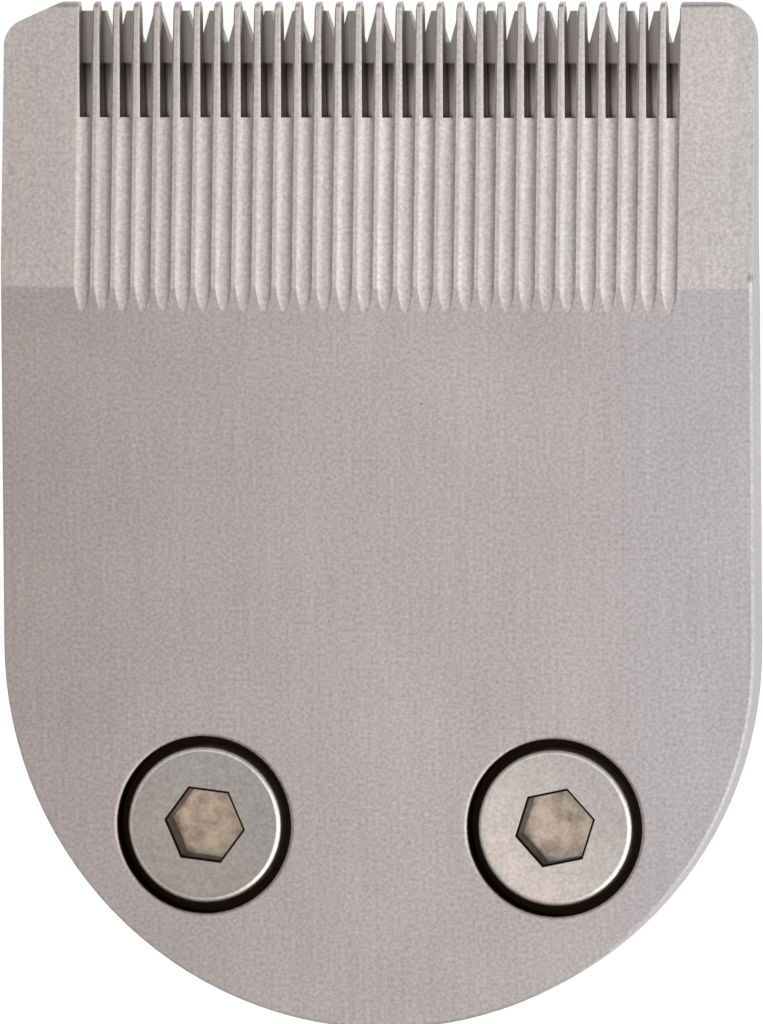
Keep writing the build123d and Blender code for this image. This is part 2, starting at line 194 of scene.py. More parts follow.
@dataclass(frozen=True)
class CombSteel:
    """Hardened stainless strip: a matt blasted grey, warm at the left, with painted light brightening it towards
    the right, a paler ground bevel with a painted sheen, painted shade in the slots between its teeth and dark
    painted shade in its screw seats.
    """

    name: str = "blasted_stainless_steel"
    left_hex: str = "#A79B98"
    middle_hex: str = "#B5ABA9"
    right_hex: str = "#B5B0B1"
    ground_hex: str = "#B2ADA9"
    recess_shade_hex: str = "#231811"
    slot_shade_hex: str = "#4A413A"
    # The bevel, grooves, slots and seats of the CAD model
    bevel_length: float = 12.6
    bevel_drop: float = 1.35
    groove_overrun: float = 1.6
    slot_length: float = 5.2
    teeth_half_width: float = 13.71
    tooth_pitch: float = 0.914
    seat_radius: float = 4.1
    # The bevel's painted sheen, which brightens it, and what grinding does to it: its loss of tint and the blur
    # of its border
    bevel_sheen_gain: float = 1.26
    bared: float = 0.4
    crease_blur: float = 0.06
    # Depths below the face at which a groove's ground skin and a seat's painted shade begin and are full
    groove_depths: tuple[float, float] = (0.004, 0.02)
    seat_shade_depths: tuple[float, float] = (0.09, 0.25)
    # Depths below the bevel's plane where the plate's sides stop being ground, and where the slots' painted shade
    # begins and is full
    side_depth: float = 0.1
    slot_shade_depths: tuple[float, float] = (0.16, 0.35)
    # Height above the plate's back below which nothing is ground or painted with shade
    back_height: float = 0.02
    # Cover of the painted shade at a slot's inner end and further out, the length of that change, and the
    # unshaded tip
    slot_shade_covers: tuple[float, float] = (0.1, 0.6)
    slot_shade_run: float = 2.0
    unshaded_tip: float = 0.2
    # Sizes and contrasts of the patterns
    grain: float = 0.16
    grain_contrast: float = 0.9
    streak_width: float = 0.2
    streak_length: float = 6.0
    streak_contrast: float = 0.2
    blotch: float = 5.0
    blotch_contrast: float = 0.16
    tooth_contrast: float = 0.1
    # A trace of rust on the left lug, a dark spot on the right edge and a speck on the face
    stains: tuple[Stain, ...] = (
        Stain((-16.1, 17.0, 7.0), (0.6, 3.4, 4.0), "#B09A84", 0.35),
        Stain((16.93, 10.65, 7.9), (0.25, 0.3, 0.3), "#3A332E", 0.8),
        Stain((2.09, 5.02, 8.0), (0.09, 0.07, 0.2), "#6A625D", 0.6),
    )
    surface: Surface = Surface(0.45, 0.16, 0.4, 0.012)

    def material(self, low: Vector, high: Vector, screw: Vector) -> Material:
        """Builds the material round the plate's place.

        Args:
            low: Low corner of the plate's box, in metres.
            high: High corner of the plate's box, in metres.
            screw: Middle of the right screw, in metres.

        Returns:
            The material.
        """
        material, tree = new_material(self.name)
        place = add_node(tree, "TexCoord").outputs["Object"]
        axes = add_node(tree, "SeparateXYZ", {0: place}).outputs
        plate = PlateNodes(tree, place, *axes, low, high)
        # Blasting pits, drawn coarser than the real grit so that they show
        grit = 1 / (self.grain * MM)
        grain = add_node(tree, "TexNoise", {"Vector": place, "Scale": grit, "Detail": 3.0})
        depth = self._bevel_depth(plate)
        ground = self._ground(plate, depth)
        tint = self._tint(plate)
        level = self._level(plate, grain, ground)
        # Grinding takes the blasted skin's tint off the bevel, and painted shade in the slots and the seats lies
        # on top
        bared = add_node(tree, "Math", {0: ground, 1: self.bared}, operation="MULTIPLY")
        tint = add_node(tree, "Mix", {0: bared, 6: tint, 7: linear(self.ground_hex)}, data_type="RGBA")
        colour = add_node(tree, "Mix", {0: 1.0, 6: tint, 7: level}, data_type="RGBA", blend_type="MULTIPLY")
        for cover, hex_colour in (
            (self._slot_shade(plate, depth), self.slot_shade_hex),
            (self._seat_shade(plate, screw), self.recess_shade_hex),
        ):
            colour = add_node(tree, "Mix", {0: cover, 6: colour, 7: linear(hex_colour)}, data_type="RGBA")
        self.surface.shade(tree, colour, grain, grain)
        return material

    def _tint(self, plate: PlateNodes) -> Node:
        """Tints the strip warm at its left and cool at its right, with painted light brightening it towards the
        right, and adds the stains.

        Args:
            plate: Shared nodes and corners.

        Returns:
            Node with the colour.
        """
        tree, limit = plate.tree, plate.high.x
        # Painted light brightens the strip from left to right, over its warm-to-cool tint
        strip = linear(self.left_hex)
        for start, end, hex_colour in ((-limit, 0.0, self.middle_hex), (0.0, limit, self.right_hex)):
            side = add_node(tree, "MapRange", {0: plate.x, 1: start, 2: end})
            strip = add_node(tree, "Mix", {0: side, 6: strip, 7: linear(hex_colour)}, data_type="RGBA")
        for stain in self.stains:
            spread = tuple(1 / (reach * MM) for reach in stain.reach)
            centre = tuple(-spot / reach for spot, reach in zip(stain.place, stain.reach))
            local = add_node(tree, "Mapping", {"Vector": plate.place, "Scale": spread, "Location": centre})
            away = add_node(tree, "VectorMath", {0: local}, operation="LENGTH")
            cover = {0: away, 1: 1.0, 2: stain.core, 3: 0.0, 4: stain.strength}
            patch = add_node(tree, "MapRange", cover)
            strip = add_node(tree, "Mix", {0: patch, 6: strip, 7: linear(stain.colour_hex)}, data_type="RGBA")
        return strip

    def _level(self, plate: PlateNodes, grain: Node, ground: Node) -> Node:
        """Varies the brightness with the grain, rolling streaks, cloudy patches, the teeth and a painted sheen on
        the ground bevel.

        Args:
            plate: Shared nodes and corners.
            grain: Node with the grain.
            ground: Node with the mask of the ground faces.

        Returns:
            Node with the factor.
        """
        tree, place = plate.tree, plate.place
        # Rolling leaves streaks along the strip, far finer than these, which are as fine as the render shows
        stretch = tuple(1 / (size * MM) for size in (self.streak_width, self.streak_length, self.streak_width))
        drawn = add_node(tree, "Mapping", {"Vector": place, "Scale": stretch})
        streaks = add_node(tree, "TexNoise", {"Vector": drawn, "Scale": 1.0, "Detail": 2.0})
        patch = 1 / (self.blotch * MM)
        clouds = add_node(tree, "TexNoise", {"Vector": place, "Scale": patch, "Detail": 1.0})
        # Each tooth was ground by its own pass of the wheel
        first = self.teeth_half_width / self.tooth_pitch
        per_pitch = 1 / (self.tooth_pitch * MM)
        pitches = add_node(tree, "Math", {0: plate.x, 1: per_pitch, 2: first}, operation="MULTIPLY_ADD")
        number = add_node(tree, "Math", {0: pitches}, operation="ROUND")
        own = add_node(tree, "TexWhiteNoise", {"W": number}, noise_dimensions="1D")
        # The ground bevel and grooves get a painted sheen, brighter than the flat, varied by each tooth's own
        # tone
        least = self.bevel_sheen_gain - 1.0 - self.tooth_contrast / 2
        gain = add_node(tree, "Math", {0: own, 1: self.tooth_contrast, 2: least}, operation="MULTIPLY_ADD")
        level = add_node(tree, "Math", {0: ground, 1: gain, 2: 1.0}, operation="MULTIPLY_ADD")
        for texture, contrast in (
            (grain, self.grain_contrast),
            (streaks, self.streak_contrast),
            (clouds, self.blotch_contrast),
        ):
            darkest = 1.0 - contrast / 2
            part = add_node(tree, "Math", {0: texture, 1: contrast, 2: darkest}, operation="MULTIPLY_ADD")
            level = add_node(tree, "Math", {0: level, 1: part}, operation="MULTIPLY")
        return level

    def _bevel_depth(self, plate: PlateNodes) -> Node:
        """Measures how far a place lies below the bevel's plane.

        Args:
            plate: Shared nodes and corners.

        Returns:
            Node with the depth, in metres.
        """
        slope = self.bevel_drop / self.bevel_length
        start = plate.high.z + (plate.high.y - self.bevel_length * MM) * slope
        bevel = add_node(plate.tree, "Math", {0: plate.y, 1: -slope, 2: start}, operation="MULTIPLY_ADD")
        return add_node(plate.tree, "Math", {0: bevel, 1: plate.z}, operation="SUBTRACT")

    def _ground(self, plate: PlateNodes, depth: Node) -> Node:
        """Masks the faces that the wheel ground: the bevel, and the grooves up to their ends behind the crease.

        Args:
            plate: Shared nodes and corners.
            depth: Node with the depth below the bevel's plane.

        Returns:
            Node with the mask.
        """
        tree = plate.tree
        crease = plate.high.y - self.bevel_length * MM
        blur = self.crease_blur * MM
        beyond = add_node(tree, "MapRange", {0: plate.y, 1: crease - blur, 2: crease + blur})
        begin, full = (plate.high.z - limit * MM for limit in self.groove_depths)
        cut = add_node(tree, "MapRange", {0: plate.z, 1: begin, 2: full})
        across = add_node(tree, "Math", {0: plate.x}, operation="ABSOLUTE")
        near, toothed, shallow, upper = (
            add_node(tree, "Math", {0: value, 1: limit}, operation=operation)
            for value, limit, operation in (
                (plate.y, crease - self.groove_overrun * MM, "GREATER_THAN"),
                (across, self.teeth_half_width * MM, "LESS_THAN"),
                (depth, self.side_depth * MM, "LESS_THAN"),
                (plate.z, plate.low.z + self.back_height * MM, "GREATER_THAN"),
            )
        )
        run_out = add_node(tree, "Math", {0: cut, 1: near}, operation="MULTIPLY")
        mask = add_node(tree, "Math", {0: beyond, 1: run_out}, operation="MAXIMUM")
        on_top = add_node(tree, "Math", {0: toothed, 1: shallow}, operation="MAXIMUM")
        for limit in (on_top, upper):
            mask = add_node(tree, "Math", {0: mask, 1: limit}, operation="MULTIPLY")
        return mask

    def _slot_shade(self, plate: PlateNodes, depth: Node) -> Node:
        """Masks the walls of the slots between the teeth, which get painted shade.

        Args:
            plate: Shared nodes and corners.
            depth: Node with the depth below the bevel's plane.

        Returns:
            Node with the mask.
        """
        tree, tip = plate.tree, plate.high.y
        begin, full = (limit * MM for limit in self.slot_shade_depths)
        # Painted shade darkens the slot walls below the bevel's plane
        deep = add_node(tree, "MapRange", {0: depth, 1: begin, 2: full})
        # The painted shade is faint at the slots' inner ends and fuller towards the tips
        inner = tip - self.slot_length * MM
        outer = inner + self.slot_shade_run * MM
        least, most = self.slot_shade_covers
        tipward_shade = add_node(tree, "MapRange", {0: plate.y, 1: inner, 2: outer, 3: least, 4: most})
        mask = add_node(tree, "Math", {0: deep, 1: tipward_shade}, operation="MULTIPLY")
        across = add_node(tree, "Math", {0: plate.x}, operation="ABSOLUTE")
        for value, limit, operation in (
            (across, self.teeth_half_width * MM, "LESS_THAN"),
            (plate.y, inner, "GREATER_THAN"),
            (plate.y, tip - self.unshaded_tip * MM, "LESS_THAN"),
            (plate.z, plate.low.z + self.back_height * MM, "GREATER_THAN"),
        ):
            within = add_node(tree, "Math", {0: value, 1: limit}, operation=operation)
            mask = add_node(tree, "Math", {0: mask, 1: within}, operation="MULTIPLY")
        return mask

    def _seat_shade(self, plate: PlateNodes, screw: Vector) -> Node:
        """Masks the two screw seats below the face, which get dark painted shade.

        Args:
            plate: Shared nodes and corners.
            screw: Middle of the right screw, in metres.

        Returns:
            Node with the mask.
        """
        tree = plate.tree
        across = add_node(tree, "Math", {0: plate.x}, operation="ABSOLUTE")
        plan = add_node(tree, "CombineXYZ", {0: across, 1: plate.y})
        middle = (screw.x, screw.y, 0.0)
        reach = add_node(tree, "VectorMath", {0: plan, 1: middle}, operation="DISTANCE")
        radius = self.seat_radius * MM
        inside = add_node(tree, "Math", {0: reach, 1: radius}, operation="LESS_THAN")
        # Painted shade fills the seats below the face
        begin, full = (plate.high.z - limit * MM for limit in self.seat_shade_depths)
        depth = add_node(tree, "MapRange", {0: plate.z, 1: begin, 2: full})
        return add_node(tree, "Math", {0: inside, 1: depth}, operation="MULTIPLY")


@dataclass(frozen=True)
class CutterSteel:
    """Ground carbon steel: a grey contact land at the teeth and a paler hollow behind it, darkened with brown
    painted shade next to the land's step.
    """

    name: str = "ground_carbon_steel"
    land_hex: str = "#827D79"
    recess_shade_hex: str = "#453C37"
    hollow_hex: str = "#B4ADA8"
    land_length: float = 2.3
    step_shade_length: float = 2.2
    step_blur: tuple[float, float] = (0.1, 0.05)
    scratch_width: float = 0.08
    scratch_length: float = 3.0
    contrast: float = 0.6
    surface: Surface = Surface(0.3, 0.0, 0.2, 0.01)

    def material(self, tip: float) -> Material:
        """Builds the material behind the cutter's tips.

        Args:
            tip: Y of the cutter's tips, in metres.

        Returns:
            The material.
        """
        material, tree = new_material(self.name)
        place = add_node(tree, "TexCoord").outputs["Object"]
        axes = add_node(tree, "SeparateXYZ", {0: place})
        # Grinding scratches along the teeth, drawn wider than real ones so that they show
        sizes = (self.scratch_width, self.scratch_length, self.scratch_width)
        stretch = tuple(1 / (size * MM) for size in sizes)
        drawn = add_node(tree, "Mapping", {"Vector": place, "Scale": stretch})
        scratches = add_node(tree, "TexNoise", {"Vector": drawn, "Scale": 1.0, "Detail": 2.0})
        step = tip - self.land_length * MM
        behind, before = (blur * MM for blur in self.step_blur)
        steel = linear(self.hollow_hex)
        # Painted shade darkens the hollow towards the land's step, and the land covers it
        for start, end, hex_colour in (
            (step - self.step_shade_length * MM, step, self.recess_shade_hex),
            (step - behind, step + before, self.land_hex),
        ):
            part = add_node(tree, "MapRange", {0: axes.outputs["Y"], 1: start, 2: end})
            steel = add_node(tree, "Mix", {0: part, 6: steel, 7: linear(hex_colour)}, data_type="RGBA")
        darkest = 1.0 - self.contrast / 2
        level = add_node(tree, "Math", {0: scratches, 1: self.contrast, 2: darkest}, operation="MULTIPLY_ADD")
        colour = add_node(tree, "Mix", {0: 1.0, 6: steel, 7: level}, data_type="RGBA", blend_type="MULTIPLY")
        self.surface.shade(tree, colour, scratches, scratches)
        return material


@dataclass(frozen=True)
class ScrewSteel:
    """Nickel-plated turned steel: fine rings on the head, a painted sheen towards the lower left, a painted
    highlight on the rounded edge, painted shade on the socket wall and a blotched beige floor.
    """

    name: str
    near_hex: str
    far_hex: str
    floor_hex: str
    edge_highlight_hex: str = "#D8D2CC"
    socket_shade_hex: str = "#1E1712"
    edge_width: float = 0.25
    edge_blur: float = 0.05
    # The socket's share of the head's radius, the depths where the painted shade on its wall begins and is full,
    # the heights above its floor where the floor's colour does, and how far below the floor its cone may reach
    socket_share: float = 0.55
    socket_shade_depths: tuple[float, float] = (0.031, 0.045)
    floor_heights: tuple[float, float] = (0.08, 0.02)
    floor_reach: float = 0.5
    # Sizes and contrasts of the patterns
    ring: float = 0.12
    ring_contrast: float = 0.12
    grit: float = 0.16
    grit_contrast: float = 0.68
    blotch: float = 0.8
    blotch_contrast: float = 0.3
    floor_contrast: float = 1.5
    surface: Surface = Surface(0.38, 0.12, 0.2, 0.01)

    def material(self, axis: Vector, socket_depth: float, head_radius: float) -> Material:
        """Builds the material round one screw's axis.

        Args:
            axis: Middle of the head's top, in metres.
            socket_depth: Depth of the socket's floor.
            head_radius: Radius of the head.

        Returns:
            The material.
        """
        material, tree = new_material(self.name)
        place = add_node(tree, "TexCoord").outputs["Object"]
        local = add_node(tree, "Mapping", {"Vector": place, "Location": -axis})
        axes = add_node(tree, "SeparateXYZ", {0: local})
        plan = add_node(tree, "CombineXYZ", {0: axes.outputs["X"], 1: axes.outputs["Y"]})
        radius = add_node(tree, "VectorMath", {0: plan}, operation="LENGTH")
        # Turning marks are drawn a little wider than the tool's feed so that they show
        feed = add_node(tree, "Math", {0: radius, 1: 1 / (self.ring * MM)}, operation="MULTIPLY")
        turned = {"W": feed, "Scale": 1.0, "Detail": 1.0}
        rings = add_node(tree, "TexNoise", turned, noise_dimensions="1D")
        cloud, grit = (
            add_node(tree, "TexNoise", {"Vector": place, "Scale": 1 / (size * MM), "Detail": detail})
            for size, detail in ((self.blotch, 3.0), (self.grit, 2.0))
        )
        base, floor = self._base(tree, axes, radius, socket_depth, head_radius)
        # The drilled floor is more blotched than the head
        strength = {0: floor, 1: self.floor_contrast, 2: self.blotch_contrast}
        blotch = add_node(tree, "Math", strength, operation="MULTIPLY_ADD")
        middle = add_node(tree, "Math", {0: cloud, 1: 0.5}, operation="SUBTRACT")
        level = 1.0 - (self.ring_contrast + self.grit_contrast) / 2
        for texture, contrast in (
            (rings, self.ring_contrast),
            (grit, self.grit_contrast),
            (middle, blotch),
        ):
            level = add_node(tree, "Math", {0: texture, 1: contrast, 2: level}, operation="MULTIPLY_ADD")
        colour = add_node(tree, "Mix", {0: 1.0, 6: base, 7: level}, data_type="RGBA", blend_type="MULTIPLY")
        self.surface.shade(tree, colour, cloud, rings)
        return material

    def _base(
        self, tree: NodeTree, axes: Node, radius: Node, socket_depth: float, head_radius: float
    ) -> tuple[Node, Node]:
        """Colours the head, its edge with a painted highlight, the socket's wall with painted shade, and its
        floor.

        Args:
            tree: The material's node tree.
            axes: Coordinates from the head's top, by axis.
            radius: Node with the distance from the screw's axis.
            socket_depth: Depth of the socket's floor.
            head_radius: Radius of the head.

        Returns:
            Nodes with the colour and with the floor's mask.
        """
        x, y, z = axes.outputs
        reach = head_radius * MM
        edge = reach - self.edge_width * MM
        # A painted sheen makes the plating paler towards the lower left, and a painted highlight lies on the
        # rounded edge
        across = add_node(tree, "Math", {0: x, 1: y}, operation="ADD")
        colour = linear(self.near_hex)
        for value, start, end, hex_colour in (
            (across, -reach, reach, self.far_hex),
            (radius, edge, edge + self.edge_blur * MM, self.edge_highlight_hex),
        ):
            part = add_node(tree, "MapRange", {0: value, 1: start, 2: end})
            colour = add_node(tree, "Mix", {0: part, 6: colour, 7: linear(hex_colour)}, data_type="RGBA")
        bottom = -(socket_depth + self.floor_reach) * MM
        within = add_node(tree, "Math", {0: radius, 1: self.socket_share * reach}, operation="LESS_THAN")
        above = add_node(tree, "Math", {0: z, 1: bottom}, operation="GREATER_THAN")
        inside = add_node(tree, "Math", {0: within, 1: above}, operation="MULTIPLY")
        floor_depths = tuple(socket_depth - height for height in self.floor_heights)
        # Painted shade darkens the socket wall below its mouth, and the floor takes its own colour
        for (begin, full), hex_colour in ((self.socket_shade_depths, self.socket_shade_hex), (floor_depths, self.floor_hex)):
            part = add_node(tree, "MapRange", {0: z, 1: -begin * MM, 2: -full * MM})
            mask = add_node(tree, "Math", {0: part, 1: inside}, operation="MULTIPLY")
            colour = add_node(tree, "Mix", {0: mask, 6: colour, 7: linear(hex_colour)}, data_type="RGBA")
        return colour, mask


class Plating(Enum):
    """The two screws' platings, which have aged differently; the paler one also carries a painted sheen."""

    # Worn nickel: a dull warm grey, a little cooler towards the upper right
    GREY = ScrewSteel("nickelled_steel_grey", "#9F958F", "#9C9995", "#AA9987")
    # Nickel with a painted sheen: a warm white at the lower left that fades to grey
    PALE = ScrewSteel("nickelled_steel_pale", "#CBBFB7", "#B4AEAA", "#B3A394")


@dataclass(frozen=True)
class PlainFinish:
    """One colour with a cloudy grain and a fine bump, for moulded, drawn and turned pieces."""

    name: str
    colour_hex: str
    grain: float
    contrast: float
    surface: Surface
    stretch: Triple = (1.0, 1.0, 1.0)

    def material(self) -> Material:
        """Builds the material.

        Returns:
            The material.
        """
        material, tree = new_material(self.name)
        place = add_node(tree, "TexCoord").outputs["Object"]
        scale = tuple(1 / (self.grain * MM * length) for length in self.stretch)
        sized = add_node(tree, "Mapping", {"Vector": place, "Scale": scale})
        grain = add_node(tree, "TexNoise", {"Vector": sized, "Scale": 1.0, "Detail": 3.0})
        darkest = 1.0 - self.contrast / 2
        level = add_node(tree, "Math", {0: grain, 1: self.contrast, 2: darkest}, operation="MULTIPLY_ADD")
        hue = linear(self.colour_hex)
        colour = add_node(tree, "Mix", {0: 1.0, 6: hue, 7: level}, data_type="RGBA", blend_type="MULTIPLY")
        self.surface.shade(tree, colour, grain, grain)
        return material


class Stock(Enum):
    """Plain stock of the pieces behind the comb."""

    # Black glass-filled nylon: satin black with a moulded texture and pale fibre flecks
    NYLON = PlainFinish("moulded_glass_nylon", "#2B2B2D", 0.12, 0.35, Surface(0.52, 0.2, 0.4, 0.02, 0.0))
    # Natural acetal: waxy off-white, nearly plain
    ACETAL = PlainFinish("moulded_acetal", "#E6E2D6", 0.3, 0.07, Surface(0.38, 0.2, 0.12, 0.02, 0.0))
    # Drawn spring wire: bright grey with die lines along its length
    WIRE = PlainFinish(
        "drawn_spring_steel", "#A39F98", 0.05, 0.3, Surface(0.3, 0.2, 0.15, 0.02), (1.0, 30.0, 1.0)
    )
    # Turned brass: yellow with fine tool marks round it
    BRASS = PlainFinish("turned_brass", "#C7A560", 0.08, 0.25, Surface(0.32, 0.2, 0.15, 0.02), (4.0, 4.0, 1.0))


def sharpen(shape: BMesh, angle: float = SHARP) -> None:
    """Marks the edges that turn more than an angle as sharp.

    Args:
        shape: Mesh to mark.
        angle: Angle in degrees.
    """
    for edge in shape.edges:
        edge.smooth = edge.calc_face_angle(0.0) < math.radians(angle)


def finished(shape: BMesh, name: str) -> Object:
    """Turns a bmesh in metres into a smooth-shaded object that keeps its sharp edges.

    Args:
        shape: Mesh in its place; it is freed.
        name: Name of the piece.

    Returns:
        The piece's object, at the origin.
    """
    mesh = bpy.data.meshes.new(name)
    for face in shape.faces:
        face.smooth = True
    shape.to_mesh(mesh)
    shape.free()
    if "custom_normal" in mesh.attributes:
        mesh.attributes.remove(mesh.attributes["custom_normal"])
    piece = bpy.data.objects.new(name, mesh)
    bpy.context.scene.collection.objects.link(piece)
    return piece


def modelled(shape: BMesh, name: str, spot: Vector, sharp_angle: float = SHARP) -> Object:
    """Turns a bmesh in millimetres, drawn round its own origin, into an object in its place.

    Args:
        shape: Mesh to place; it is freed.
        name: Name of the piece.
        spot: Place of the mesh's origin, in metres.
        sharp_angle: Angle in degrees above which an edge is sharp.

    Returns:
        The piece's object, at the origin.
    """
    bmesh.ops.recalc_face_normals(shape, faces=shape.faces)
    sharpen(shape, sharp_angle)
    bmesh.ops.scale(shape, vec=(MM, MM, MM), verts=shape.verts)
    bmesh.ops.translate(shape, vec=spot, verts=shape.verts)
    return finished(shape, name)


def packed_copy(node: str, name: str, whole_faces: bool = False, soft_angle: float = 0.0) -> Object:
    """Copies a CAD node as one merged mesh, sharp where its faces meet.

    Args:
        node: Name of the CAD node.
        name: Name of the piece.
        whole_faces: Dissolves the triangles of flat faces, for a piece whose edges get rounded.
        soft_angle: Angle in degrees below which the facets of lengthwise grooves shade as one round face.

    Returns:
        The piece's object.
    """
    shape = bmesh.new()
    shape.from_mesh(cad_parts[node].data)
    for edge in shape.edges:
        edge.smooth = not edge.is_boundary
    bmesh.ops.remove_doubles(shape, verts=shape.verts, dist=MERGE * MM)
    for edge in shape.edges:
        lengthwise = abs(edge.verts[0].co.x - edge.verts[1].co.x) < MERGE * MM
        if lengthwise and edge.calc_face_angle(math.pi) < math.radians(soft_angle):
            edge.smooth = True
    if whole_faces:
        bmesh.ops.dissolve_limit(shape, angle_limit=FLAT, verts=shape.verts, edges=shape.edges)
        sharpen(shape)
    return finished(shape, name)


def round_edges(piece: Object, width: float, segments: int = 3, weighted: bool = False) -> None:
    """Rounds a piece's sharp edges, as a mould's corners do, or only the edges that carry a weight.

    Args:
        piece: Object to round.
        width: Width of the rounding.
        segments: Number of faces across the rounding.
        weighted: Rounds only the edges with a bevel weight.
    """
    rounding = piece.modifiers.new("rounded_edges", "BEVEL")
    rounding.width = width * MM
    rounding.segments = segments
    rounding.limit_method = "WEIGHT" if weighted else "ANGLE"
    rounding.angle_limit = math.radians(30)
    rounding.harden_normals = True


def break_edges(shape: BMesh, edges: list[BMEdge], width: float) -> None:
    """Breaks sharp edges of a mesh with two narrow facets.

    Args:
        shape: Mesh with the edges.
        edges: Edges to break.
        width: Width of the break.
    """
    bmesh.ops.bevel(
        shape,
        geom=edges,
        offset=width,
        offset_type="OFFSET",
        affect="EDGES",
        segments=2,
        profile=0.5,
        material=-1,
    )


def extrude_ring(shape: BMesh, ring: list[BMEdge]) -> tuple[list[BMVert], list[BMEdge]]:
    """Extrudes an open ring of edges, without moving it yet.

    Args:
        shape: Mesh with the ring.
        ring: Edges of the ring.

    Returns:
        Points and edges of the new ring.
    """
    made = bmesh.ops.extrude_edge_only(shape, edges=ring)["geom"]
    verts = [item for item in made if isinstance(item, BMVert)]
    return verts, [item for item in made if isinstance(item, BMEdge) and item.is_boundary]


def turn_profile(
    shape: BMesh, ring: list[BMEdge], profile: tuple[tuple[float | None, float], ...]
) -> list[BMEdge]:
    """Extrudes a ring of edges round the Z axis through a profile.

    Args:
        shape: Mesh with the ring.
        ring: Edges of the ring.
        profile: Radius and Z of each new ring, where a radius of None keeps the ring's outline.

    Returns:
        Edges of the last ring.
    """
    for radius, height in profile:
        verts, ring = extrude_ring(shape, ring)
        for vert in verts:
            if radius is not None:
                vert.co.xy = vert.co.xy.normalized() * radius
            vert.co.z = height
    return ring


def put_in(piece: Object, node: str, body: Body, material: Material) -> None:
    """Lets a piece stand for its CAD node, ride on its body and take its finish.

    Args:
        piece: The finished object.
        node: CAD node that it replaces.
        body: Body that it rides on.
        material: The piece's material.
    """
    piece.data.materials.clear()
    piece.data.materials.append(material)
    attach(piece, body.value)
    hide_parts(node)
    LOG.info("%s: %d faces", piece.name, len(piece.data.polygons))


@dataclass
class Comb:
    """Fixed toothed plate."""

    node: str = "fixed_blade"
    groove_facet: float = 15.0
    facet_margin: float = 1.0
    seat_reach: float = 4.2
    seat_rounding: float = 0.09
    seat_segments: int = 4
    finish: CombSteel = field(default_factory=CombSteel)

    def build(self) -> None:
        """Copies the plate, rounds the rims of its screw seats and dresses it."""
        plate = packed_copy(self.node, "comb_plate", soft_angle=self.groove_facet + self.facet_margin)
        low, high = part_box(self.node)
        screw = sum(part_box("screw_right"), Vector()) / 2
        self._weight_rims(plate, screw, high.z)
        round_edges(plate, self.seat_rounding, self.seat_segments, weighted=True)
        put_in(plate, self.node, Body.COMB, self.finish.material(low, high, screw))

    def _weight_rims(self, plate: Object, screw: Vector, face: float) -> None:
        """Weights the two rims where the screw seats meet the plate's face, and makes that face whole.

        Args:
            plate: The plate's object.
            screw: Middle of the right screw, in metres.
            face: Z of the plate's face, in metres.
        """
        shape = bmesh.new()
        shape.from_mesh(plate.data)
        weights = shape.edges.layers.float.new("bevel_weight_edge")
        top = [edge for edge in shape.edges if all(abs(vert.co.z - face) < MERGE * MM for vert in edge.verts)]
        flat = [edge for edge in top if edge.calc_face_angle(math.pi) < FLAT]
        for edge in set(top) - set(flat):
            middle = (edge.verts[0].co + edge.verts[1].co) / 2
            if math.hypot(abs(middle.x) - screw.x, middle.y - screw.y) < self.seat_reach * MM:
                edge[weights] = 1.0
        bmesh.ops.dissolve_limit(shape, angle_limit=FLAT, verts=[], edges=flat)
        shape.to_mesh(plate.data)
        shape.free()


@dataclass
class CutterSlide:
    """Toothed cutter with its drive fork, which slide together."""

    fork_rounding: float = 0.1
    finish: CutterSteel = field(default_factory=CutterSteel)

    def build(self) -> None:
        """Copies the cutter and the fork and dresses them."""
        cutter = packed_copy("moving_blade", "cutter_plate")
        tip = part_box("moving_blade")[1].y
        put_in(cutter, "moving_blade", Body.CUTTER, self.finish.material(tip))
        fork = packed_copy("drive_fork", "drive_fork_moulding", whole_faces=True)
        round_edges(fork, self.fork_rounding)
        put_in(fork, "drive_fork", Body.CUTTER, Stock.ACETAL.value.material())


